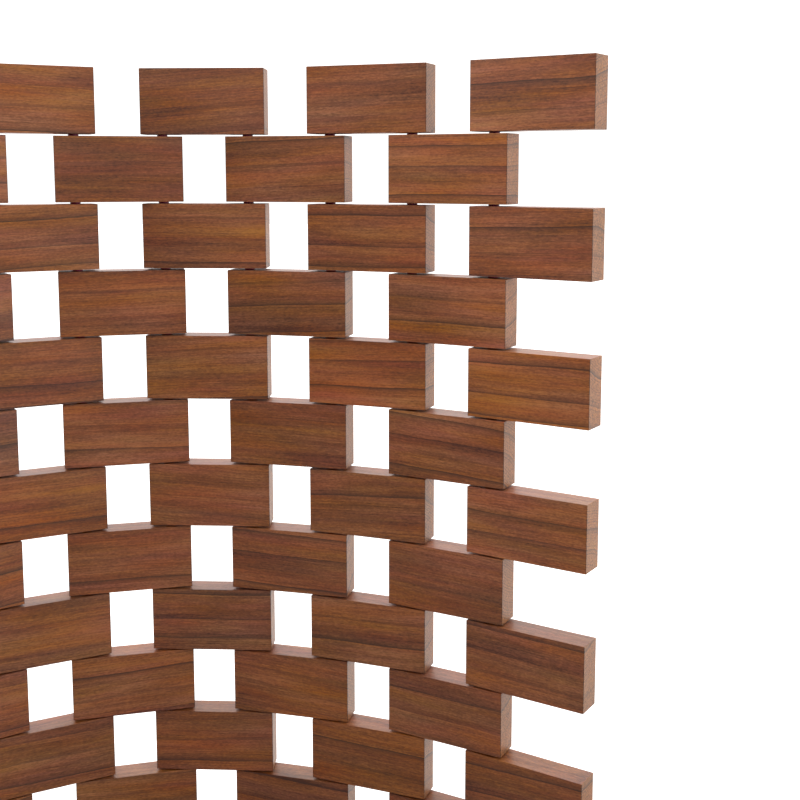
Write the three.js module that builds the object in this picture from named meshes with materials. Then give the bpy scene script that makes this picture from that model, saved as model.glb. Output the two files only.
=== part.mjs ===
// Free-standing screen of solid walnut blocks, laid in open running bond and threaded on upright
// steel rods. Units are millimetres, +Z is up, the floor is z = 0 and the hollow side of the
// curve faces -Y. Rows count from the floor up; places along the curve count from the left end.
import * as THREE from "three";

// Blocks
const BLOCK_LENGTH = 230;
const BLOCK_HEIGHT = 120;
const BLOCK_THICKNESS = 50;
const ROW_COUNT = 13;
const ROW_GAP = 3.5; // daylight between two rows, held open by the spacers

// Rods, with a round spacer in every gap between two rows
const ROD_DIAMETER = 12;
const ROD_FROM_BLOCK_END = 35;
const ROD_END_DEPTH = 3; // how far a rod stops below the top face and above the floor
const SPACER_DIAMETER = 19;
const SEAT_CLEARANCE = 0.1; // between a spacer and the block above or below it
const BORE_CLEARANCE = 0.3; // between a rod and the wall of the hole through a block
const ROUND_SIDES = 8;

// Plan of the curve: the heading of the left-most place, and the clockwise turn at each rod
const FIRST_HEADING_DEGREES = 36;
const TURN_DEGREES = [8, 13, 17, 12, 6.5, 8, 3.5];

// Sizes that follow from the ones above
const ROW_PITCH = BLOCK_HEIGHT + ROW_GAP;
const SCREEN_HEIGHT = ROW_COUNT * ROW_PITCH - ROW_GAP;
const ROD_SPACING = BLOCK_LENGTH - 2 * ROD_FROM_BLOCK_END;
const ROD_COUNT = TURN_DEGREES.length;
const PLACE_COUNT = ROD_COUNT + 1;

const walnut = new THREE.MeshStandardMaterial({ color: 0x8c563a, roughness: 0.5, metalness: 0 });
const coatedSteel = new THREE.MeshStandardMaterial({ color: 0x351b27, roughness: 0.45, metalness: 0.3 });

// The heading of every place, in radians anticlockwise from +X.
function placeHeadings() {
  const headings = [FIRST_HEADING_DEGREES];
  for (const turn of TURN_DEGREES) {
    headings.push(headings[headings.length - 1] - turn);
  }
  return headings.map(THREE.MathUtils.degToRad);
}

// A unit vector in plan along a heading.
function along(heading) {
  return new THREE.Vector2(Math.cos(heading), Math.sin(heading));
}

// The rods and the block centres in plan: each place starts at the rod where the last one ended,
// and its middle is half a rod spacing further on.
function planOfCurve() {
  const headings = placeHeadings();
  const rods = [new THREE.Vector2(0, 0)];
  const middles = [along(headings[0]).multiplyScalar(-ROD_SPACING / 2)];
  for (let place = 1; place < PLACE_COUNT; place += 1) {
    const start = rods[place - 1];
    const direction = along(headings[place]);
    middles.push(start.clone().addScaledVector(direction, ROD_SPACING / 2));
    if (place < ROD_COUNT) {
      rods.push(start.clone().addScaledVector(direction, ROD_SPACING));
    }
  }
  const centre = centreOfFootprint(middles, headings);
  rods.forEach((rod) => rod.sub(centre));
  middles.forEach((middle) => middle.sub(centre));
  return { headings, rods, middles };
}

// The centre of the rectangle, square to X and Y, that just holds every block seen from above.
function centreOfFootprint(middles, headings) {
  const footprint = new THREE.Box2();
  middles.forEach((middle, place) => {
    const lengthwise = along(headings[place]).multiplyScalar(BLOCK_LENGTH / 2);
    const crosswise = along(headings[place] + Math.PI / 2).multiplyScalar(BLOCK_THICKNESS / 2);
    for (const end of [-1, 1]) {
      for (const side of [-1, 1]) {
        footprint.expandByPoint(
          middle.clone().addScaledVector(lengthwise, end).addScaledVector(crosswise, side),
        );
      }
    }
  });
  return footprint.getCenter(new THREE.Vector2());
}

// A hole for a rod, as a polygon whose flats stand clear of the rod.
function rodHole(x) {
  const flatRadius = ROD_DIAMETER / 2 + BORE_CLEARANCE;
  const cornerRadius = flatRadius / Math.cos(Math.PI / ROUND_SIDES);
  const corners = [];
  for (let side = 0; side < ROUND_SIDES; side += 1) {
    const corner = along((side * 2 * Math.PI) / ROUND_SIDES).multiplyScalar(cornerRadius);
    corners.push(corner.add(new THREE.Vector2(x, 0)));
  }
  return new THREE.Path(corners);
}

// A block lying along X with its underside on z = 0, drilled upright at the given distances
// from its middle.
function drilledBlock(holes) {
  const halfLength = BLOCK_LENGTH / 2;
  const halfThickness = BLOCK_THICKNESS / 2;
  const outline = new THREE.Shape([
    new THREE.Vector2(-halfLength, -halfThickness),
    new THREE.Vector2(halfLength, -halfThickness),
    new THREE.Vector2(halfLength, halfThickness),
    new THREE.Vector2(-halfLength, halfThickness),
  ]);
  outline.holes = holes.map(rodHole);
  return new THREE.ExtrudeGeometry(outline, { depth: BLOCK_HEIGHT, bevelEnabled: false });
}

// A rod with its spacers, turned about Z: the profile climbs from the bottom end to the top end
// and steps out round every gap between two rows.
function rodWithSpacers() {
  const rodRadius = ROD_DIAMETER / 2;
  const spacerRadius = SPACER_DIAMETER / 2;
  const profile = [new THREE.Vector2(0, ROD_END_DEPTH), new THREE.Vector2(rodRadius, ROD_END_DEPTH)];
  for (let gap = 1; gap < ROW_COUNT; gap += 1) {
    const spacerTop = gap * ROW_PITCH - SEAT_CLEARANCE;
    const spacerBottom = gap * ROW_PITCH - ROW_GAP + SEAT_CLEARANCE;
    profile.push(new THREE.Vector2(rodRadius, spacerBottom));
    profile.push(new THREE.Vector2(spacerRadius, spacerBottom));
    profile.push(new THREE.Vector2(spacerRadius, spacerTop));
    profile.push(new THREE.Vector2(rodRadius, spacerTop));
  }
  profile.push(new THREE.Vector2(rodRadius, SCREEN_HEIGHT - ROD_END_DEPTH));
  profile.push(new THREE.Vector2(0, SCREEN_HEIGHT - ROD_END_DEPTH));
  return new THREE.LatheGeometry(profile, ROUND_SIDES).rotateX(Math.PI / 2);
}

function twoDigits(number) {
  return String(number).padStart(2, "0");
}

// The rows: rows 1, 3, 5 and so on fill places 2, 4, 6 and 8, and the rows between them fill
// places 1, 3, 5 and 7, so each end of the screen is toothed.
function addBlocks(screen, plan) {
  const halfSpacing = ROD_SPACING / 2;
  const middleBlock = drilledBlock([-halfSpacing, halfSpacing]);
  const leftEndBlock = drilledBlock([halfSpacing]);
  const rightEndBlock = drilledBlock([-halfSpacing]);
  for (let row = 1; row <= ROW_COUNT; row += 1) {
    const course = new THREE.Group();
    course.position.z = (row - 1) * ROW_PITCH;
    screen.add(course);
    let blockNumber = 1;
    for (let place = row % 2; place < PLACE_COUNT; place += 2) {
      let geometry = middleBlock;
      if (place === 0) {
        geometry = leftEndBlock;
      } else if (place === PLACE_COUNT - 1) {
        geometry = rightEndBlock;
      }
      const block = new THREE.Mesh(geometry, walnut.clone());
      block.name = `row_${twoDigits(row)}_block_${blockNumber}`;
      block.position.set(plan.middles[place].x, plan.middles[place].y, 0);
      block.rotation.z = plan.headings[place];
      course.add(block);
      blockNumber += 1;
    }
  }
}

function addRods(screen, plan) {
  const geometry = rodWithSpacers();
  plan.rods.forEach((place, index) => {
    const rod = new THREE.Mesh(geometry, coatedSteel.clone());
    rod.name = `rod_${index + 1}`;
    rod.position.set(place.x, place.y, 0);
    screen.add(rod);
  });
}

const screen = new THREE.Group();
const plan = planOfCurve();
addBlocks(screen, plan);
addRods(screen, plan);

export default screen;
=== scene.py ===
"""Free-standing screen of walnut blocks in open running bond, threaded on upright steel rods.

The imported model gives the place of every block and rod. This file gives each of them its finished
shape and surface, and sets the stage around them. Sizes are in metres.
"""
import math
import random

import bpy
import numpy as np
from mathutils import Matrix, Vector


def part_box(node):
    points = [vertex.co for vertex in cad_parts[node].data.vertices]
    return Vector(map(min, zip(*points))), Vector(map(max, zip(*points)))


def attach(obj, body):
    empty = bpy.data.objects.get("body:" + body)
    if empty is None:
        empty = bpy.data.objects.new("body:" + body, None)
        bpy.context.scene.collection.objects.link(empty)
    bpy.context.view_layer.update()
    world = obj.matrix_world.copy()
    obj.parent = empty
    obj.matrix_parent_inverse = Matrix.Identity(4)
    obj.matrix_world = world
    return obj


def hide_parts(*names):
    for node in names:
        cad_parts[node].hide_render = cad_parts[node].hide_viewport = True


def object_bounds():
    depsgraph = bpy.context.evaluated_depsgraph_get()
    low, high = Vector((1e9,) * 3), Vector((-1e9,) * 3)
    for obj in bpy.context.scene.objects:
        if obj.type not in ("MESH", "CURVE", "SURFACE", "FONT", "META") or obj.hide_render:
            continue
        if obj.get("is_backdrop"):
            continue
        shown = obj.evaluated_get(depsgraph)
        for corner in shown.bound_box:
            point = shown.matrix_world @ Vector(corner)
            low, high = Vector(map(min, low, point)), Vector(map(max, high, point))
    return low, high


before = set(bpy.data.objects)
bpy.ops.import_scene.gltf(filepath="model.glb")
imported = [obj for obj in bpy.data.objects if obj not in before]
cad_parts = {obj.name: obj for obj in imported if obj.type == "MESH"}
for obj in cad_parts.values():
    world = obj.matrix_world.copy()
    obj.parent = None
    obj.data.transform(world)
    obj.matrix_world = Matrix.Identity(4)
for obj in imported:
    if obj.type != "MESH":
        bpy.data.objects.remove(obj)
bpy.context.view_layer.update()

bl_info = {
    "name": "Walnut Block Screen",
    "version": (1, 0, 0),
    "blender": (4, 5, 0),
    "location": "3D View > Sidebar > Block Screen",
    "description": "Finished blocks, rods and spacers of a free-standing walnut block screen",
    "category": "Add Mesh",
}

BODY = "root"
BLOCK_NODES = sorted(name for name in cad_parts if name.startswith("row_"))
ROD_NODES = sorted(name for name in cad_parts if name.startswith("rod_"))

ROUND_SIDES = 32            # flat sides that stand for each round hole, rod and spacer
ROD_END_ROUNDING = 0.001
SPACER_EDGE_ROUNDING = 0.0003
SEAT = 0.0001               # clearance that keeps a spacer off the faces it touches

# The log: the width of a growth ring, how many rings a dark zone spans, and how far the rings
# wander.
RING_WIDTH = 0.0046
RINGS_PER_ZONE = 9.5
RING_WANDER = 0.013

# How the blocks differ from one another: how far the grain leans up or down and to the side, and
# how far the pith strays from straight above or below (standard deviations in degrees), the
# nearest and the farthest pith, the length of log to saw from, and tone and colour.
GRAIN_SLANT = 2.2
GRAIN_SWING = 1.2
PITH_STRAY = 16
PITH_DISTANCE = (0.14, 0.42)
LOG_LENGTH = 40
MIDDLE_TONE = 0.412
TONE_SPREAD = 0.055
GREEN_SPREAD = 0.03
BLUE_SPREAD = 0.16

# The stage: the side of the square floor, and the eye's place from the last rod and the top.
FLOOR_SIDE = 60
EYE_LEFT_OF_ROD = 0.144
EYE_BEFORE_ROD = 2.064
EYE_BELOW_TOP = 0.187
SENSOR_WIDTH = 36           # millimetres
LENS_SHIFT = -0.1

# Each light's name, bearing and elevation in degrees, distance and side in metres, and watts.
LIGHTS = (
    ("right_light", 66, 4, 3.4, 1.8, 41),
    ("left_light", -80, 35, 3.4, 1.8, 42),
    ("front_light", 0, 42, 3.6, 2.4, 60))

# The Mix node's sockets for colours, which share their names with those for numbers.
MIX_A = 6
MIX_B = 7
MIX_RESULT = 2


# ---------------------------------------------------------------- places read from the frame

def middle(node):
    """The middle of a node's box."""
    low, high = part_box(node)
    return (low + high) / 2


def in_plan(vector):
    """A point or direction as it is seen from above."""
    return Vector((vector.x, vector.y))


def rods_through(block):
    """The rods that pass through a block, from left to right."""
    centre = in_plan(middle(block))
    low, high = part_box(block)
    reach = in_plan(high - low).length / 2
    return [rod for rod in ROD_NODES if (in_plan(middle(rod)) - centre).length < reach]


def heading_of(block):
    """The angle from +X to the block's length, seen from above."""
    centre = in_plan(middle(block))
    rods = [in_plan(middle(rod)) for rod in rods_through(block)]
    run = rods[-1] - rods[0] if len(rods) == 2 else rods[0] - centre
    if run.x < 0:
        run.negate()
    return math.atan2(run.y, run.x)


def block_sizes(block):
    """Length, thickness and height of a block, from its box and its heading."""
    low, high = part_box(block)
    width, depth, height = high - low
    cosine = math.cos(heading_of(block))
    sine = abs(math.sin(heading_of(block)))
    spread = cosine ** 2 - sine ** 2
    length = (width * cosine - depth * sine) / spread
    thickness = (depth * cosine - width * sine) / spread
    return length, thickness, height


# Every block has the same size, and the second stands for all.
LENGTH, THICKNESS, HEIGHT = block_sizes(BLOCK_NODES[1])
ROW_LEVELS = sorted({round(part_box(block)[0].z, 5) for block in BLOCK_NODES})
ROW_GAP = ROW_LEVELS[1] - ROW_LEVELS[0] - HEIGHT
HOLE_OFFSET = (in_plan(middle(ROD_NODES[1])) - in_plan(middle(ROD_NODES[0]))).length / 2
SPACER_DIAMETER = (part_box(ROD_NODES[0])[1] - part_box(ROD_NODES[0])[0]).x


# ---------------------------------------------------------------- settings

def linear(hex_colour):
    """An sRGB hex colour as linear red, green, blue and alpha."""
    channels = [int(hex_colour[i:i + 2], 16) / 255 for i in (1, 3, 5)]
    return [c / 12.92 if c <= 0.04045 else ((c + 0.055) / 1.055) ** 2.4 for c in channels] + [1]


class BlockScreenBlocks(bpy.types.PropertyGroup):
    edge_radius: bpy.props.FloatProperty(
        name="Eased Edge", description="Radius worn onto every edge of a block by sanding",
        default=0.0009, min=0.0002, max=0.004, subtype="DISTANCE", unit="LENGTH")
    hole_diameter: bpy.props.FloatProperty(
        name="Hole", description="Diameter of the holes drilled for the rods",
        default=0.0128, min=0.012, max=0.016, subtype="DISTANCE", unit="LENGTH")
    timber_seed: bpy.props.IntProperty(
        name="Timber", description="Picks the place in the log that each block is sawn from",
        default=7)
    pale_wood: bpy.props.FloatVectorProperty(
        name="Pale Wood", description="Colour of the palest wood",
        default=linear("#ac683e"), size=4, subtype="COLOR", min=0, max=1)
    middle_wood: bpy.props.FloatVectorProperty(
        name="Middle Wood", description="Colour of most of the wood",
        default=linear("#844a28"), size=4, subtype="COLOR", min=0, max=1)
    # Painted sheen: the sawn ends are painted towards this paler tan, which stands for the sheen of
    # light on them.
    end_grain_and_sheen: bpy.props.FloatVectorProperty(
        name="End Grain", description="Colour the wood tends to on the sawn ends",
        default=linear("#906030"), size=4, subtype="COLOR", min=0, max=1)
    dark_wood: bpy.props.FloatVectorProperty(
        name="Dark Wood", description="Colour of the darkest streaks",
        default=linear("#50240d"), size=4, subtype="COLOR", min=0, max=1)
    vein: bpy.props.FloatVectorProperty(
        name="Veins", description="Colour of the thin dark veins and of the open pores",
        default=linear("#331a0a"), size=4, subtype="COLOR", min=0, max=1)


class BlockScreenRods(bpy.types.PropertyGroup):
    rod_diameter: bpy.props.FloatProperty(
        name="Rod", description="Diameter of the steel rods",
        default=0.012, min=0.006, max=0.0125, subtype="DISTANCE", unit="LENGTH")
    spacer_diameter: bpy.props.FloatProperty(
        name="Spacer", description="Outer diameter of the round spacers between the rows",
        default=SPACER_DIAMETER, min=0.014, max=0.03, subtype="DISTANCE", unit="LENGTH")
    bar: bpy.props.FloatVectorProperty(
        name="Bar", description="Colour of the blacked steel of the rods",
        default=linear("#4a4c50"), size=4, subtype="COLOR", min=0, max=1)
    # Painted light: the coat's colour is set much brighter than the real very dark wine red, to stand
    # for the light that reaches the spacers in the narrow gaps.
    coat: bpy.props.FloatVectorProperty(
        name="Coat", description="Colour of the baked coat on the spacers",
        default=linear("#b03468"), size=4, subtype="COLOR", min=0, max=1)


class BlockScreenStage(bpy.types.PropertyGroup):
    lens: bpy.props.FloatProperty(
        name="Lens", description="Focal length of the camera in millimetres",
        default=53.66, min=20, max=200)
    pan: bpy.props.FloatProperty(
        name="Pan", description="Turn of the camera to the left",
        default=math.radians(0.49), subtype="ANGLE", unit="ROTATION")
    tilt: bpy.props.FloatProperty(
        name="Tilt", description="Downward tilt of the camera",
        default=math.radians(7.12), subtype="ANGLE", unit="ROTATION")


# ---------------------------------------------------------------- modelling tools

def deselect_all():
    bpy.ops.object.select_all(action="DESELECT")


def make_active(obj):
    deselect_all()
    obj.select_set(True)
    bpy.context.view_layer.objects.active = obj


def apply_modifier(obj, kind, **settings):
    """Adds a modifier with its settings and applies it."""
    make_active(obj)
    modifier = obj.modifiers.new(kind.title(), kind)
    for name, value in settings.items():
        setattr(modifier, name, value)
    bpy.ops.object.modifier_apply(modifier=modifier.name)


def remove_object(obj):
    make_active(obj)
    bpy.ops.object.delete()


def finish_piece(piece, name, nodes):
    """Names a piece, and lets it ride in place of its nodes of the frame."""
    piece.name = name
    piece.data.name = name
    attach(piece, BODY)
    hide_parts(*nodes)


# ---------------------------------------------------------------- materials

def add_node(tree, kind, inputs=None, stops=None, **settings):
    """Adds a node. Settings are its properties, inputs give each input a value, a socket or a node
    (which stands for its first output), and stops are the places and colours of a colour ramp, its
    two ends first."""
    node = tree.nodes.new(kind)
    for name, value in settings.items():
        setattr(node, name, value)
    for key, value in (inputs or {}).items():
        if isinstance(value, bpy.types.Node):
            value = value.outputs[0]
        if isinstance(value, bpy.types.NodeSocket):
            tree.links.new(value, node.inputs[key])
        else:
            node.inputs[key].default_value = value
    for index, (position, colour) in enumerate(stops or []):
        if index < 2:
            element = node.color_ramp.elements[index]
        else:
            element = node.color_ramp.elements.new(position)
        element.position = position
        element.color = colour
    return node


def new_material(name):
    """An empty node material, and its node tree."""
    material = bpy.data.materials.new(name)
    material.use_nodes = True
    material.node_tree.nodes.clear()
    return material, material.node_tree


def walnut_planed_and_oiled(settings):
    """American walnut, planed, sanded and wiped with oil: brown heartwood with dark veins that run
    the length of each block, fine open pores and a low satin sheen."""
    material, tree = new_material("walnut_planed_and_oiled")
    timber = add_node(tree, "ShaderNodeAttribute", attribute_name="timber").outputs["Vector"]
    tone = add_node(tree, "ShaderNodeAttribute", attribute_name="tone").outputs["Fac"]
    tint = add_node(tree, "ShaderNodeAttribute", attribute_name="tint").outputs["Vector"]
    sides = add_node(tree, "ShaderNodeAttribute", attribute_name="cut").outputs["Vector"]
    cut = add_node(tree, "ShaderNodeSeparateXYZ", {0: sides})

    # The growth layers wander by a few millimetres over a hand's breadth along the grain.
    slow = add_node(tree, "ShaderNodeVectorMath", {
        0: timber, 1: (4.0, 14.0, 14.0)}, operation="MULTIPLY")
    wander = add_node(tree, "ShaderNodeTexNoise", {
        "Vector": slow, "Scale": 1.0, "Detail": 5.0, "Roughness": 0.45})
    bent = add_node(tree, "ShaderNodeVectorMath", {
        0: wander.outputs["Color"], 1: (0.0, RING_WANDER, RING_WANDER), 2: timber},
        operation="MULTIPLY_ADD")
    across = add_node(tree, "ShaderNodeVectorMath", {0: bent, 1: (0.0, 1.0, 1.0)}, operation="MULTIPLY")
    radius = add_node(tree, "ShaderNodeVectorMath", {0: across}, operation="LENGTH").outputs["Value"]

    # Growth rings: each darkens slowly and ends sharply, some more than others.
    ring = add_node(tree, "ShaderNodeMath", {0: radius, 1: RING_WIDTH}, operation="DIVIDE")
    ring_rise = add_node(tree, "ShaderNodeMath", {0: ring}, operation="FRACT")
    ring_curve = add_node(tree, "ShaderNodeMath", {0: ring_rise, 1: 4.0}, operation="POWER")
    ring_number = add_node(tree, "ShaderNodeMath", {0: ring}, operation="FLOOR")
    ring_weight = add_node(tree, "ShaderNodeTexWhiteNoise", {"W": ring_number}, noise_dimensions="1D")
    ring_dark = add_node(tree, "ShaderNodeMath", {0: ring_curve, 1: ring_weight}, operation="MULTIPLY")

    # Every six to twenty rings a plum-brown zone stops short, at a thin dark vein in most cases.
    uneven = add_node(tree, "ShaderNodeTexNoise", {
        "W": ring, "Scale": 0.09, "Detail": 0.0}, noise_dimensions="1D")
    zone = add_node(tree, "ShaderNodeMath", {0: ring, 1: RINGS_PER_ZONE}, operation="DIVIDE")
    zone = add_node(tree, "ShaderNodeMath", {0: uneven, 1: 0.6, 2: zone}, operation="MULTIPLY_ADD")
    zone_rise = add_node(tree, "ShaderNodeMath", {0: zone}, operation="FRACT")
    zone_curve = add_node(tree, "ShaderNodeMath", {0: zone_rise, 1: 1.6}, operation="POWER")
    zone_number = add_node(tree, "ShaderNodeMath", {0: zone}, operation="FLOOR")
    zone_weight = add_node(tree, "ShaderNodeTexWhiteNoise", {"W": zone_number}, noise_dimensions="1D")
    zone_depth = add_node(tree, "ShaderNodeMath", {0: zone_weight, 1: 1.8}, operation="POWER")
    zone_dark = add_node(tree, "ShaderNodeMath", {0: zone_curve, 1: zone_depth}, operation="MULTIPLY")
    vein_curve = add_node(tree, "ShaderNodeMath", {0: zone_rise, 1: 14.0}, operation="POWER")
    vein_number = add_node(tree, "ShaderNodeMath", {0: zone_number, 1: 0.5}, operation="ADD")
    vein_weight = add_node(tree, "ShaderNodeTexWhiteNoise", {"W": vein_number}, noise_dimensions="1D")
    vein_depth = add_node(tree, "ShaderNodeMapRange", {
        "Value": vein_weight, "From Min": 0.3, "From Max": 0.85})
    vein = add_node(tree, "ShaderNodeMath", {0: vein_curve, 1: vein_depth}, operation="MULTIPLY")

    # The tops and undersides lie almost along the growth layers, so zones and veins show faintly.
    along_layers = add_node(tree, "ShaderNodeMapRange", {
        "Value": cut.outputs["Z"], "To Min": 1.0, "To Max": 0.3})
    zone_dark = add_node(tree, "ShaderNodeMath", {0: zone_dark, 1: along_layers}, operation="MULTIPLY")
    vein = add_node(tree, "ShaderNodeMath", {0: vein, 1: along_layers}, operation="MULTIPLY")

    # The grain in layers, from bands 60 mm wide, through patches of 25 mm, streaks of 6 mm and
    # strands of 3 mm, to hair lines and short flecks, drawn 1.5 and 2 mm wide so that they show.
    # Each has a name, a source, its steps in a metre along and across the grain, its detail and
    # its weight.
    layers = (
        ("bands", bent, (3.5, 15.0, 15.0), 1.0, 0.74),
        ("patches", bent, (5.5, 42.0, 42.0), 1.0, 0.30),
        ("streaks", bent, (4.5, 165.0, 165.0), 2.0, 0.72),
        ("strands", bent, (20.0, 330.0, 330.0), 1.0, 0.28),
        ("hair", timber, (50.0, 680.0, 680.0), 2.0, 0.66),
        ("fleck", timber, (170.0, 480.0, 480.0), 1.0, 0.74))
    noise = {}
    darkness = add_node(tree, "ShaderNodeMath", {
        0: tone, 1: sum(layer[-1] for layer in layers) / 2}, operation="SUBTRACT")
    darkness = add_node(tree, "ShaderNodeMath", {
        0: zone_dark, 1: 0.36, 2: darkness}, operation="MULTIPLY_ADD")
    darkness = add_node(tree, "ShaderNodeMath", {
        0: ring_dark, 1: 0.34, 2: darkness}, operation="MULTIPLY_ADD")
    for name, source, steps, detail, weight in layers:
        stretched = add_node(tree, "ShaderNodeVectorMath", {
            0: source, 1: steps}, operation="MULTIPLY")
        noise[name] = add_node(tree, "ShaderNodeTexNoise", {
            "Vector": stretched, "Scale": 1.0, "Detail": detail})
        darkness = add_node(tree, "ShaderNodeMath", {
            0: noise[name], 1: weight, 2: darkness}, operation="MULTIPLY_ADD")
    brown = add_node(tree, "ShaderNodeValToRGB", {"Fac": darkness}, stops=[
        (0.0, settings.pale_wood), (1.0, settings.dark_wood), (0.5, settings.middle_wood)])

    # Bands, patches and streaks also lean from orange to olive and from orange to plum, partly
    # together. Dark zones lean to plum, and each whole block its own way.
    lean = add_node(tree, "ShaderNodeVectorMath", {
        0: noise["bands"].outputs["Color"], 1: noise["patches"].outputs["Color"]}, operation="ADD")
    lean = add_node(tree, "ShaderNodeVectorMath", {
        0: noise["streaks"].outputs["Color"], 1: (0.0, 0.5, 0.5), 2: lean}, operation="MULTIPLY_ADD")
    lean = add_node(tree, "ShaderNodeSeparateXYZ", {0: lean})
    plum = add_node(tree, "ShaderNodeMath", {
        0: zone_dark, 1: 0.26, 2: lean.outputs["Z"]}, operation="MULTIPLY_ADD")
    plum = add_node(tree, "ShaderNodeMath", {
        0: lean.outputs["Y"], 1: 0.6, 2: plum}, operation="MULTIPLY_ADD")
    green = add_node(tree, "ShaderNodeMapRange", {
        "Value": lean.outputs["Y"], "From Min": 0.8, "From Max": 1.8, "To Min": 0.72, "To Max": 1.26},
        clamp=False)
    blue = add_node(tree, "ShaderNodeMapRange", {
        "Value": plum, "From Min": 1.5, "From Max": 2.5, "To Min": 0.04, "To Max": 1.36}, clamp=False)
    shift = add_node(tree, "ShaderNodeCombineXYZ", {"X": 1.0, "Y": green, "Z": blue})
    shift = add_node(tree, "ShaderNodeVectorMath", {0: shift, 1: tint}, operation="MULTIPLY")
    long_grain = add_node(tree, "ShaderNodeVectorMath", {0: brown, 1: shift}, operation="MULTIPLY")

    # Sawn across, the wood is painted a paler, plainer tan, a painted sheen that stands for the light
    # the ends catch, with the rings as fine darker lines.
    plain = add_node(tree, "ShaderNodeMath", {
        0: ring_dark, 1: -0.5, 2: 0.58}, operation="MULTIPLY_ADD")
    end_sheen_share = add_node(tree, "ShaderNodeMath", {
        0: cut.outputs["X"], 1: plain}, operation="MULTIPLY")
    sawn = add_node(tree, "ShaderNodeMix", {
        "Factor": end_sheen_share, MIX_A: long_grain, MIX_B: settings.end_grain_and_sheen}, data_type="RGBA")

    # Oil darkens the wood where it soaks in: on the sawn ends at the rings and unevenly between them.
    # The eased upright edges are painted darkest, a painted shade that stands for the darker reflection
    # on their rounding.
    soaked_and_shaded = add_node(tree, "ShaderNodeMath", {
        0: noise["strands"], 1: 1.8, 2: -0.9}, operation="MULTIPLY_ADD")
    soaked_and_shaded = add_node(tree, "ShaderNodeMath", {
        0: ring_dark, 1: 0.6, 2: soaked_and_shaded}, operation="MULTIPLY_ADD")
    soaked_and_shaded = add_node(tree, "ShaderNodeMath", {0: soaked_and_shaded, 1: cut.outputs["X"]}, operation="MULTIPLY")
    soaked_and_shaded = add_node(tree, "ShaderNodeMath", {
        0: cut.outputs["Y"], 1: 0.55, 2: soaked_and_shaded}, operation="MULTIPLY_ADD")
    not_soaked_or_shaded = add_node(tree, "ShaderNodeMath", {0: 1.0, 1: soaked_and_shaded}, operation="SUBTRACT")
    colour = add_node(tree, "ShaderNodeVectorMath", {
        0: sawn.outputs[MIX_RESULT], "Scale": not_soaked_or_shaded}, operation="SCALE")

    # Open pores, up to 10 mm long and drawn 0.6 mm wide so that they show, and the veins at the
    # ends of the dark zones.
    long = add_node(tree, "ShaderNodeVectorMath", {
        0: timber, 1: (60.0, 900.0, 900.0)}, operation="MULTIPLY")
    pore_noise = add_node(tree, "ShaderNodeTexNoise", {"Vector": long, "Scale": 1.0, "Detail": 1.0})
    pores = add_node(tree, "ShaderNodeMapRange", {
        "Value": pore_noise, "From Min": 0.62, "From Max": 0.72})
    pore_share = add_node(tree, "ShaderNodeMath", {0: pores, 1: 0.4}, operation="MULTIPLY")
    share = add_node(tree, "ShaderNodeMath", {0: pore_share, 1: vein}, operation="MAXIMUM")
    veined = add_node(tree, "ShaderNodeMix", {
        "Factor": share, MIX_A: colour, MIX_B: settings.vein}, data_type="RGBA")

    # The hair lines stand up a little and the pores are sunk. Streaks and pores are less glossy.
    height = add_node(tree, "ShaderNodeMath", {
        0: pores, 1: -0.8, 2: noise["hair"]}, operation="MULTIPLY_ADD")
    bump = add_node(tree, "ShaderNodeBump", {
        "Height": height, "Strength": 0.12, "Distance": 0.0004})
    roughness = add_node(tree, "ShaderNodeMath", {
        0: noise["streaks"], 1: 0.12, 2: 0.40}, operation="MULTIPLY_ADD")
    roughness = add_node(tree, "ShaderNodeMath", {
        0: pores, 1: 0.15, 2: roughness}, operation="MULTIPLY_ADD")
    surface = add_node(tree, "ShaderNodeBsdfPrincipled", {
        "Base Color": veined.outputs[MIX_RESULT], "Roughness": roughness, "IOR": 1.5,
        "Normal": bump})
    add_node(tree, "ShaderNodeOutputMaterial", {"Surface": surface})
    return material


def steel_drawn_and_blacked(settings):
    """Drawn steel bar, chemically blacked: dark blue-grey metal with faint lines along its length
    from the drawing and soft cloudy patches from the blacking."""
    material, tree = new_material("steel_drawn_and_blacked")
    place = add_node(tree, "ShaderNodeTexCoord").outputs["Object"]
    # The lines from the drawing, 100 mm long and drawn 1 mm wide so that they show.
    stretched = add_node(tree, "ShaderNodeVectorMath", {
        0: place, 1: (1000.0, 1000.0, 10.0)}, operation="MULTIPLY")
    lines = add_node(tree, "ShaderNodeTexNoise", {"Vector": stretched, "Scale": 1.0, "Detail": 2.0})
    cloud = add_node(tree, "ShaderNodeTexNoise", {"Vector": place, "Scale": 90.0, "Detail": 3.0})
    depth = add_node(tree, "ShaderNodeMapRange", {
        "Value": cloud, "From Min": 0.3, "From Max": 0.7, "To Min": 0.75, "To Max": 1.25})
    colour = add_node(tree, "ShaderNodeVectorMath", {
        0: settings.bar[:3], "Scale": depth}, operation="SCALE")
    roughness = add_node(tree, "ShaderNodeMapRange", {"Value": lines, "To Min": 0.30, "To Max": 0.50})
    bump = add_node(tree, "ShaderNodeBump", {"Height": lines, "Strength": 0.1, "Distance": 0.0002})
    surface = add_node(tree, "ShaderNodeBsdfPrincipled", {
        "Base Color": colour, "Metallic": 1.0, "Roughness": roughness, "Normal": bump})
    add_node(tree, "ShaderNodeOutputMaterial", {"Surface": surface})
    return material


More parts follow.
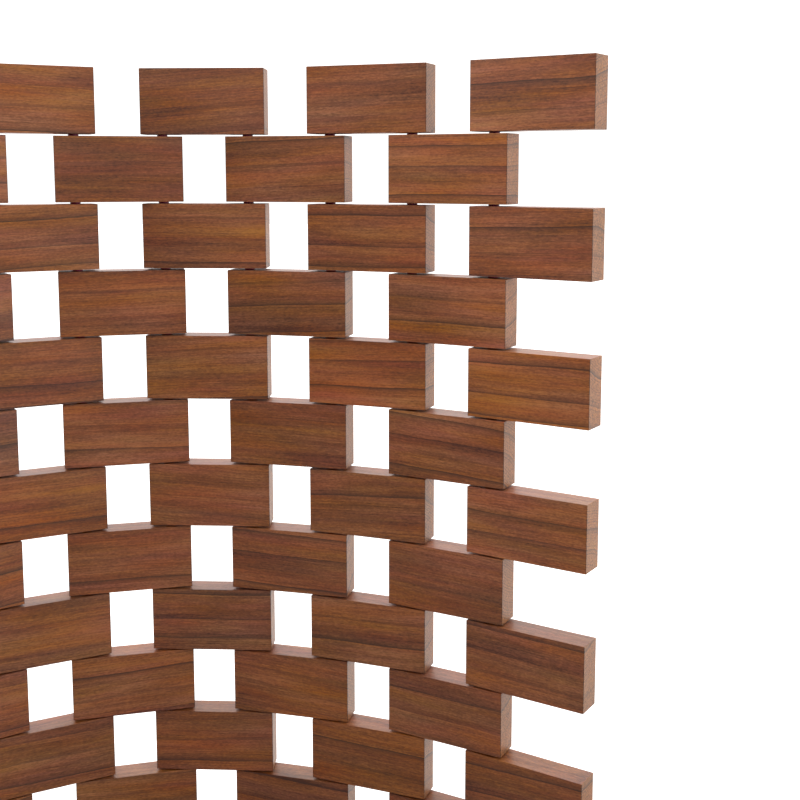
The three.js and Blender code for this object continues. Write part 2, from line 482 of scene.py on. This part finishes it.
def steel_with_wine_coat_and_painted_light(settings):
    """Steel with a baked coat of very dark wine red, painted lighter than that as painted light that
    stands for the light reaching the spacers in the narrow gaps: smooth to the touch, faintly
    clouded where it is thinner, with the fine dimples of a sprayed coat and a soft sheen."""
    material, tree = new_material("steel_with_wine_coat_and_painted_light")
    place = add_node(tree, "ShaderNodeTexCoord").outputs["Object"]
    cloud = add_node(tree, "ShaderNodeTexNoise", {"Vector": place, "Scale": 60.0, "Detail": 3.0})
    depth = add_node(tree, "ShaderNodeMapRange", {
        "Value": cloud, "From Min": 0.3, "From Max": 0.7, "To Min": 0.85, "To Max": 1.15})
    # The coat colour carries painted light: it is brighter than the real dark wine.
    colour = add_node(tree, "ShaderNodeVectorMath", {
        0: settings.coat[:3], "Scale": depth}, operation="SCALE")
    # The dimples, drawn 1.5 mm across so that they show.
    dimples = add_node(tree, "ShaderNodeTexNoise", {
        "Vector": place, "Scale": 660.0, "Detail": 1.0})
    bump = add_node(tree, "ShaderNodeBump", {
        "Height": dimples, "Strength": 0.1, "Distance": 0.0002})
    roughness = add_node(tree, "ShaderNodeMapRange", {"Value": cloud, "To Min": 0.32, "To Max": 0.46})
    surface = add_node(tree, "ShaderNodeBsdfPrincipled", {
        "Base Color": colour, "Roughness": roughness, "IOR": 1.5, "Normal": bump})
    add_node(tree, "ShaderNodeOutputMaterial", {"Surface": surface})
    return material


# ---------------------------------------------------------------- blocks

def drilled_block(holes, walnut, settings):
    """A walnut block about the origin with its length along X, drilled upright at each offset from
    its middle, its edges and the rims of its holes eased."""
    deselect_all()
    bpy.ops.mesh.primitive_cube_add(size=1, location=(0, 0, 0), scale=(LENGTH, THICKNESS, HEIGHT))
    block = bpy.context.object
    make_active(block)
    bpy.ops.object.transform_apply(location=True, rotation=True, scale=True)
    for offset in holes:
        deselect_all()
        bpy.ops.mesh.primitive_cylinder_add(
            vertices=ROUND_SIDES, radius=settings.hole_diameter / 2, depth=HEIGHT * 1.5,
            location=(offset, 0, 0))
        drill = bpy.context.object
        apply_modifier(block, "BOOLEAN", object=drill, operation="DIFFERENCE", solver="EXACT")
        remove_object(drill)
    make_active(block)
    bpy.ops.object.shade_smooth()
    apply_modifier(
        block, "BEVEL", width=settings.edge_radius, segments=3, limit_method="ANGLE",
        angle_limit=math.radians(30), harden_normals=True)
    block.data.materials.append(walnut)
    return block


def saw_from_log(block, rng):
    """Gives a block its place in the log, as attributes: timber is the point in the log, whose pith
    runs along X, tone makes the block darker or paler, tint leans its colour, and cut is 1 in X on
    the sawn ends, where a paler tan is painted as painted sheen, in Y on the upright edges and most
    of each hole's wall, where the wood is darkened with painted shade, and in Z on the top and
    underside."""
    points = np.array([vertex.co for vertex in block.data.vertices])
    slant = Matrix.Rotation(math.radians(rng.gauss(0, GRAIN_SLANT)), 3, "Y")
    swing = Matrix.Rotation(math.radians(rng.gauss(0, GRAIN_SWING)), 3, "Z")
    pith_side = math.radians(rng.choice((90, -90)) + rng.gauss(0, PITH_STRAY))
    pith_distance = rng.uniform(*PITH_DISTANCE)
    offset = Vector((rng.uniform(0, LOG_LENGTH), pith_distance * math.cos(pith_side),
                     pith_distance * math.sin(pith_side)))
    turned = points @ np.array(slant @ swing).T + np.array(offset)
    cuts = []
    for face in block.data.polygons:
        slope = [abs(part) for part in face.normal]
        # The upright edges get painted shade in the material.
        shaded_upright_edge = max(slope) < 0.99 and slope[2] < 0.1
        cuts += [float(slope[0] > 0.7), float(shaded_upright_edge), float(slope[2] > 0.7)]
    timber = block.data.attributes.new("timber", "FLOAT_VECTOR", "POINT")
    timber.data.foreach_set("vector", turned.astype(np.float32).ravel())
    tone = block.data.attributes.new("tone", "FLOAT", "POINT")
    shade = rng.gauss(MIDDLE_TONE, TONE_SPREAD)
    tone.data.foreach_set("value", np.full(len(points), shade, np.float32))
    tint = block.data.attributes.new("tint", "FLOAT_VECTOR", "POINT")
    lean = rng.gauss(0, 1)
    leaned = (1.0, math.exp(GREEN_SPREAD * lean), math.exp(BLUE_SPREAD * lean))
    tint.data.foreach_set("vector", np.tile(leaned, len(points)).astype(np.float32))
    cut = block.data.attributes.new("cut", "FLOAT_VECTOR", "FACE")
    cut.data.foreach_set("vector", cuts)


def copy_of(pattern):
    """A copy of a pattern piece with its own mesh."""
    copy = pattern.copy()
    copy.data = pattern.data.copy()
    bpy.context.scene.collection.objects.link(copy)
    return copy


def settle(obj, location, heading=0.0):
    """Turns and moves an object, and applies that to its mesh."""
    obj.location = location
    obj.rotation_euler.z = heading
    make_active(obj)
    bpy.ops.object.transform_apply(location=True, rotation=True, scale=True)


class BLOCKSCREEN_OT_blocks(bpy.types.Operator):
    """Model the three kinds of drilled block once, and set a copy at each place in the screen"""
    bl_idname = "blockscreen.blocks"
    bl_label = "Walnut Blocks"

    def execute(self, context):
        settings = context.scene.block_screen_blocks
        walnut = walnut_planed_and_oiled(settings)
        rng = random.Random(settings.timber_seed)
        patterns = {}
        for node in BLOCK_NODES:
            heading = heading_of(node)
            centre = middle(node)
            along = Vector((math.cos(heading), math.sin(heading)))
            sides = [(in_plan(middle(rod)) - in_plan(centre)).dot(along)
                     for rod in rods_through(node)]
            holes = tuple(round(math.copysign(HOLE_OFFSET, side), 5) for side in sides)
            if holes not in patterns:
                patterns[holes] = drilled_block(holes, walnut, settings)
            block = copy_of(patterns[holes])
            saw_from_log(block, rng)
            settle(block, centre, heading)
            finish_piece(block, node + "_timber", [node])
        for pattern in patterns.values():
            remove_object(pattern)
        return {"FINISHED"}


# ---------------------------------------------------------------- rods

def rod_with_spacers(settings):
    """A steel rod standing on the origin, with rounded ends and a coated spacer in each gap."""
    steel = steel_drawn_and_blacked(settings)
    coat = steel_with_wine_coat_and_painted_light(settings)
    low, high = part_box(ROD_NODES[0])
    deselect_all()
    bpy.ops.mesh.primitive_cylinder_add(
        vertices=ROUND_SIDES, radius=settings.rod_diameter / 2, depth=high.z - low.z,
        location=(0, 0, (low.z + high.z) / 2))
    rod = bpy.context.object
    apply_modifier(
        rod, "BEVEL", width=ROD_END_ROUNDING, segments=2, limit_method="ANGLE",
        angle_limit=math.radians(50))
    rod.data.materials.append(steel)
    pieces = [rod]
    for level in ROW_LEVELS[1:]:
        deselect_all()
        bpy.ops.mesh.primitive_cylinder_add(
            vertices=ROUND_SIDES, radius=settings.spacer_diameter / 2, depth=ROW_GAP - 2 * SEAT,
            end_fill_type="NOTHING", location=(0, 0, level - ROW_GAP / 2))
        ring = bpy.context.object
        wall = (settings.spacer_diameter - settings.rod_diameter) / 2 - SEAT
        apply_modifier(ring, "SOLIDIFY", thickness=wall, offset=-1)
        apply_modifier(
            ring, "BEVEL", width=SPACER_EDGE_ROUNDING, segments=1, limit_method="ANGLE",
            angle_limit=math.radians(50))
        ring.data.materials.append(coat)
        pieces.append(ring)
    make_active(rod)
    for piece in pieces:
        piece.select_set(True)
    bpy.ops.object.join()
    bpy.ops.object.transform_apply(location=True, rotation=True, scale=True)
    bpy.ops.object.shade_smooth_by_angle(angle=math.radians(35))
    return rod


class BLOCKSCREEN_OT_rods(bpy.types.Operator):
    """Model one rod with its spacers, and set a copy on each rod of the screen"""
    bl_idname = "blockscreen.rods"
    bl_label = "Rods and Spacers"

    def execute(self, context):
        pattern = rod_with_spacers(context.scene.block_screen_rods)
        for node in ROD_NODES:
            rod = copy_of(pattern)
            settle(rod, (middle(node).x, middle(node).y, 0))
            finish_piece(rod, node + "_with_spacers", [node])
        remove_object(pattern)
        return {"FINISHED"}


# ---------------------------------------------------------------- stage

def pale_floor():
    """A matt pale floor, lit from within behind the screen like a white studio sweep, with less
    light for matt surfaces than for reflections, so that the back of the screen isn't washed out.
    To the camera it brightens away from the screen until it meets the white of the room."""
    material, tree = new_material("matt_pale_floor")
    place = add_node(tree, "ShaderNodeTexCoord").outputs["Object"]
    depth = add_node(tree, "ShaderNodeSeparateXYZ", {0: place}).outputs["Y"]
    behind = add_node(tree, "ShaderNodeMapRange", {
        "Value": depth, "From Min": -0.1, "From Max": 0.6, "To Min": 0.0, "To Max": 1.25},
        interpolation_type="SMOOTHSTEP")
    distance = add_node(tree, "ShaderNodeVectorMath", {
        0: place}, operation="LENGTH").outputs["Value"]
    around = add_node(tree, "ShaderNodeMapRange", {
        "Value": distance, "From Min": 1.0, "From Max": 5.0, "To Min": 0.55, "To Max": 1.0})
    path = add_node(tree, "ShaderNodeLightPath")
    share = add_node(tree, "ShaderNodeMath", {
        0: path.outputs["Is Diffuse Ray"], 1: -0.5, 2: 1.0}, operation="MULTIPLY_ADD")
    lit = add_node(tree, "ShaderNodeMath", {0: behind, 1: share}, operation="MULTIPLY")
    seen = add_node(tree, "ShaderNodeMath", {
        0: around, 1: path.outputs["Is Camera Ray"]}, operation="MULTIPLY")
    glow = add_node(tree, "ShaderNodeMath", {0: lit, 1: seen}, operation="MAXIMUM")
    surface = add_node(tree, "ShaderNodeBsdfPrincipled", {
        "Base Color": linear("#a9a8a6"), "Roughness": 0.9, "Specular IOR Level": 0.0,
        "Emission Color": linear("#ffffff"), "Emission Strength": glow})
    add_node(tree, "ShaderNodeOutputMaterial", {"Surface": surface})
    return material


def white_room():
    """A room that is bright behind the screen, brightest 30 degrees above the horizon, and dark
    before the screen. The camera sees it as plain white."""
    world = bpy.data.worlds.new("white_room")
    world.use_nodes = True
    tree = world.node_tree
    tree.nodes.clear()
    direction = add_node(tree, "ShaderNodeTexCoord").outputs["Generated"]
    parts = add_node(tree, "ShaderNodeSeparateXYZ", {0: direction})
    wall = add_node(tree, "ShaderNodeMapRange", {
        "Value": parts.outputs["Z"], "From Min": 0.0, "From Max": 0.5,
        "To Min": 1.22, "To Max": 2.75})
    ceiling = add_node(tree, "ShaderNodeMapRange", {
        "Value": parts.outputs["Z"], "From Min": 0.5, "From Max": 1.0,
        "To Min": 1.0, "To Max": 0.4})
    behind = add_node(tree, "ShaderNodeMapRange", {
        "Value": parts.outputs["Y"], "From Min": -0.25, "From Max": 0.1,
        "To Min": 0.02, "To Max": 1.0}, interpolation_type="SMOOTHSTEP")
    sight = add_node(tree, "ShaderNodeLightPath").outputs["Is Camera Ray"]
    strength = add_node(tree, "ShaderNodeMath", {0: wall, 1: ceiling}, operation="MULTIPLY")
    strength = add_node(tree, "ShaderNodeMath", {0: strength, 1: behind}, operation="MULTIPLY")
    seen = add_node(tree, "ShaderNodeMath", {0: strength, 1: sight}, operation="MAXIMUM")
    light = add_node(tree, "ShaderNodeBackground", {"Color": linear("#ffffff"), "Strength": seen})
    add_node(tree, "ShaderNodeOutputWorld", {"Surface": light})
    return world


def soft_light(name, bearing, elevation, distance, side, power):
    """A square soft light aimed at the middle of the screen. Its bearing is from straight before
    the screen, to the right."""
    data = bpy.data.lights.new(name, "AREA")
    data.shape = "SQUARE"
    data.size = side
    data.energy = power
    light = bpy.data.objects.new(name, data)
    turn = math.radians(bearing)
    rise = math.radians(elevation)
    way = Vector((
        math.sin(turn) * math.cos(rise), -math.cos(turn) * math.cos(rise), math.sin(rise)))
    low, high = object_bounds()
    light.location = (low + high) / 2 + way * distance
    light.rotation_euler = way.to_track_quat("Z", "Y").to_euler()
    bpy.context.scene.collection.objects.link(light)


class BLOCKSCREEN_OT_stage(bpy.types.Operator):
    """Lay the floor, light the screen and set the camera before its upper right part"""
    bl_idname = "blockscreen.stage"
    bl_label = "Stage"

    def execute(self, context):
        settings = context.scene.block_screen_stage
        low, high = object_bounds()
        deselect_all()
        bpy.ops.mesh.primitive_plane_add(size=FLOOR_SIDE, location=(0, 0, low.z))
        floor = context.object
        floor.name = "floor"
        floor.data.materials.append(pale_floor())
        floor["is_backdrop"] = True
        context.scene.world = white_room()
        for light in LIGHTS:
            soft_light(*light)

        data = bpy.data.cameras.new("camera")
        data.lens = settings.lens
        data.sensor_width = SENSOR_WIDTH
        data.shift_y = LENS_SHIFT
        camera = bpy.data.objects.new("camera", data)
        right_rod = middle(ROD_NODES[-1])
        camera.location = (
            right_rod.x - EYE_LEFT_OF_ROD, right_rod.y - EYE_BEFORE_ROD, high.z - EYE_BELOW_TOP)
        camera.rotation_euler = (math.pi / 2 - settings.tilt, 0, settings.pan)
        context.scene.collection.objects.link(camera)
        context.scene.camera = camera
        context.scene.view_settings.view_transform = "Standard"
        return {"FINISHED"}


# ---------------------------------------------------------------- panel and registration

class BLOCKSCREEN_PT_panel(bpy.types.Panel):
    """The steps that make the screen, in order"""
    bl_idname = "BLOCKSCREEN_PT_panel"
    bl_label = "Block Screen"
    bl_space_type = "VIEW_3D"
    bl_region_type = "UI"
    bl_category = "Block Screen"

    def draw(self, context):
        layout = self.layout
        for name, operator in (("block_screen_blocks", BLOCKSCREEN_OT_blocks),
                               ("block_screen_rods", BLOCKSCREEN_OT_rods),
                               ("block_screen_stage", BLOCKSCREEN_OT_stage)):
            box = layout.box()
            settings = getattr(context.scene, name)
            for setting in settings.__annotations__:
                box.prop(settings, setting)
            box.operator(operator.bl_idname)


CLASSES = (BlockScreenBlocks, BlockScreenRods, BlockScreenStage, BLOCKSCREEN_OT_blocks,
           BLOCKSCREEN_OT_rods, BLOCKSCREEN_OT_stage, BLOCKSCREEN_PT_panel)


def register():
    for each in CLASSES:
        bpy.utils.register_class(each)
    bpy.types.Scene.block_screen_blocks = bpy.props.PointerProperty(type=BlockScreenBlocks)
    bpy.types.Scene.block_screen_rods = bpy.props.PointerProperty(type=BlockScreenRods)
    bpy.types.Scene.block_screen_stage = bpy.props.PointerProperty(type=BlockScreenStage)


def unregister():
    del bpy.types.Scene.block_screen_stage
    del bpy.types.Scene.block_screen_rods
    del bpy.types.Scene.block_screen_blocks
    for each in reversed(CLASSES):
        bpy.utils.unregister_class(each)


def main():
    register()
    bpy.ops.blockscreen.blocks()
    bpy.ops.blockscreen.rods()
    bpy.ops.blockscreen.stage()


if __name__ == "__main__":
    main()
